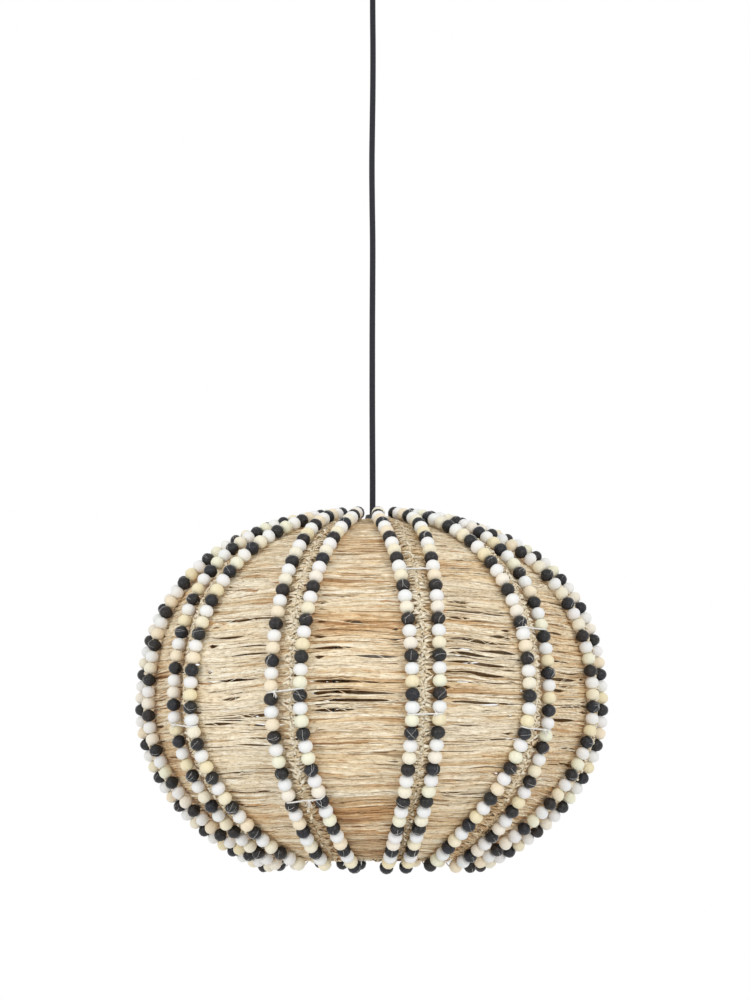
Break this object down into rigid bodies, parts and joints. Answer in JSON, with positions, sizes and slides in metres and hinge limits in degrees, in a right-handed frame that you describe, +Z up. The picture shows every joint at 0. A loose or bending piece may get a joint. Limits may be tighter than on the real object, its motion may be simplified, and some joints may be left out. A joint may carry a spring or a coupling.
{
  "type": "pendant lamp",
  "caption": "Round ribbed pendant lamp: a raffia shade on a wire cage, dressed with strings of black, white and natural wooden beads, on a cord from a ceiling cup.",
  "frame": {"origin": "middle of the ceiling bracket's top face, where the lamp meets the ceiling", "axes": "+Z up out of the ceiling bracket's top face, the lamp hangs along -Z; -Y is the side that the picture shows; +X along the bracket"},
  "size_m": [0.4472, 0.4476, 0.9489],
  "materials": {
    "raffia": "matt dry plant fibre",
    "beads": "satin turned wood, natural, white and black",
    "wire": "satin",
    "plastic": "satin",
    "ceramic": "glazed ceramic",
    "brass": "bright",
    "bulb_cap": "bright",
    "bulb_glass": "opal",
    "cord": "braided textile",
    "cup": "powder coat",
    "steel": "zinc plated"
  },
  "bodies": {
    "ceiling_fitting": {"ceiling_bracket": "steel", "ceiling_cup": "cup", "cup_screw_left": "steel", "cup_screw_right": "steel", "terminal_block": "ceramic", "ceiling_cord_grip": "plastic", "grip_nut": "plastic", "ceiling_cord_tail": "cord"},
    "cord": {"cord": "cord"},
    "lamp": {"lamp_cord_grip": "plastic", "lamp_cord_tail": "cord", "lampholder_cap": "plastic", "lampholder_body": "plastic", "contact_insert": "ceramic", "centre_contact": "brass", "screw_shell": "brass", "spider": "wire", "top_ring": "wire", "bottom_ring": "wire", "raffia_upper": "raffia", "raffia_lower": "raffia", "rib_01": "wire", "rib_02": "wire", "rib_03": "wire", "rib_04": "wire", "rib_05": "wire", "rib_06": "wire", "rib_07": "wire", "rib_08": "wire", "rib_09": "wire", "rib_10": "wire", "rib_11": "wire", "rib_12": "wire", "bead_string_01": "beads", "bead_string_02": "beads", "bead_string_03": "beads", "bead_string_04": "beads", "bead_string_05": "beads", "bead_string_06": "beads", "bead_string_07": "beads", "bead_string_08": "beads", "bead_string_09": "beads", "bead_string_10": "beads", "bead_string_11": "beads", "bead_string_12": "beads", "bead_string_13": "beads", "bead_string_14": "beads", "bead_string_15": "beads", "bead_string_16": "beads", "bead_string_17": "beads", "bead_string_18": "beads", "bead_string_19": "beads", "bead_string_20": "beads", "bead_string_21": "beads", "bead_string_22": "beads", "bead_string_23": "beads", "bead_string_24": "beads"},
    "shade_ring": {"shade_ring": "plastic"},
    "bulb": {"bulb_cap": "bulb_cap", "bulb_glass": "bulb_glass"}
  },
  "joints": [
    {"name": "cord_swing", "type": "hinge", "parent": "ceiling_fitting", "child": "cord", "pos_m": [0, 0, -0.0463], "axis": [0, 1, 0], "range_deg": [-15, 15]},
    {"name": "lamp_tilt", "type": "hinge", "parent": "cord", "child": "lamp", "pos_m": [0, 0, -0.6137], "axis": [1, 0, 0], "range_deg": [-12, 12]},
    {"name": "shade_ring_turn", "type": "hinge", "parent": "lamp", "child": "shade_ring", "pos_m": [0, 0, -0.6543], "axis": [0, 0, -1], "range_deg": [0, 1080]},
    {"name": "bulb_turn", "type": "hinge", "parent": "lamp", "child": "bulb", "pos_m": [0, 0, -0.6753], "axis": [0, 0, -1], "range_deg": [0, 1620]}
  ]
}
